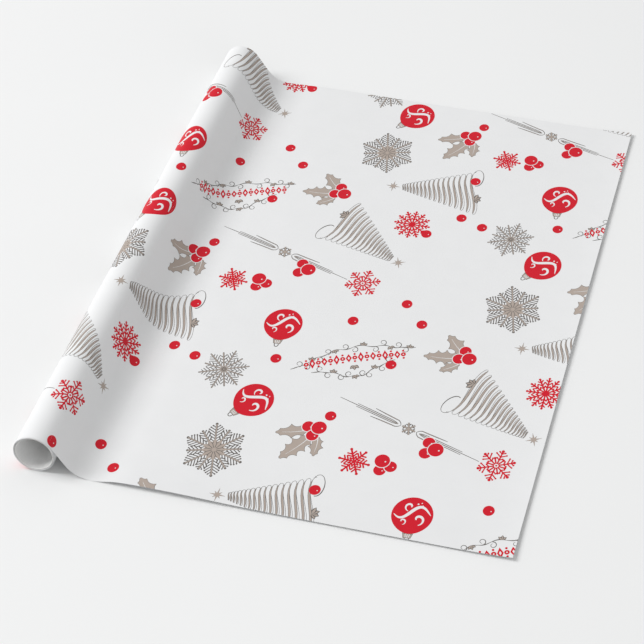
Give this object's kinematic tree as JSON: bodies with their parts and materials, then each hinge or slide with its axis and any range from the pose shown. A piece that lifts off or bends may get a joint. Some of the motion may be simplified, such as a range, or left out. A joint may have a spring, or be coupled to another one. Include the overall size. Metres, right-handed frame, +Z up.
{
  "type": "gift wrapping paper roll",
  "caption": "Roll of printed gift wrapping paper on a board core, with its free length off the top of the roll and lying flat, and a loose end that lifts.",
  "frame": {"origin": "on the table, below the middle of the whole object", "axes": "+Y along the roll, +X from the roll towards the cut end of the sheet, +Z up from the table"},
  "size_m": [0.5202, 0.762, 0.0445],
  "materials": {
    "wrap_paper": "matte coated, printed on the outer face",
    "core_liner": "pale grey board",
    "core_board": "grey board",
    "ink_red": "printed ink, satin",
    "ink_taupe": "printed ink, satin",
    "ink_line": "printed ink, satin",
    "tape": "satin"
  },
  "bodies": {
    "feed": {"rising_sheet": "wrap_paper"},
    "roll": {"core_inner_ply": "core_liner", "core_middle_ply": "core_board", "core_outer_ply": "core_board", "start_tape": "tape", "inner_turns": "wrap_paper", "outer_turn": "wrap_paper"},
    "sheet": {"flat_sheet": "wrap_paper"},
    "loose_end": {"free_end": "wrap_paper"}
  },
  "joints": [
    {"name": "sheet_pull", "type": "slide", "parent": "feed", "child": "sheet", "axis": [1, 0, 0], "range_m": [0, 0.0699]},
    {"name": "roll_spin", "type": "hinge", "parent": "feed", "child": "roll", "pos_m": [-0.23788, 0, 0.0222], "axis": [0, 1, 0], "range_deg": [0, 181]},
    {"name": "end_lift", "type": "hinge", "parent": "sheet", "child": "loose_end", "pos_m": [0.17012, 0, 0.0001], "axis": [0, -1, 0], "range_deg": [0, 40]}
  ],
  "couplings": [
    {"joint": "roll_spin", "follows": "sheet_pull", "rad_per_m": 44.944}
  ]
}
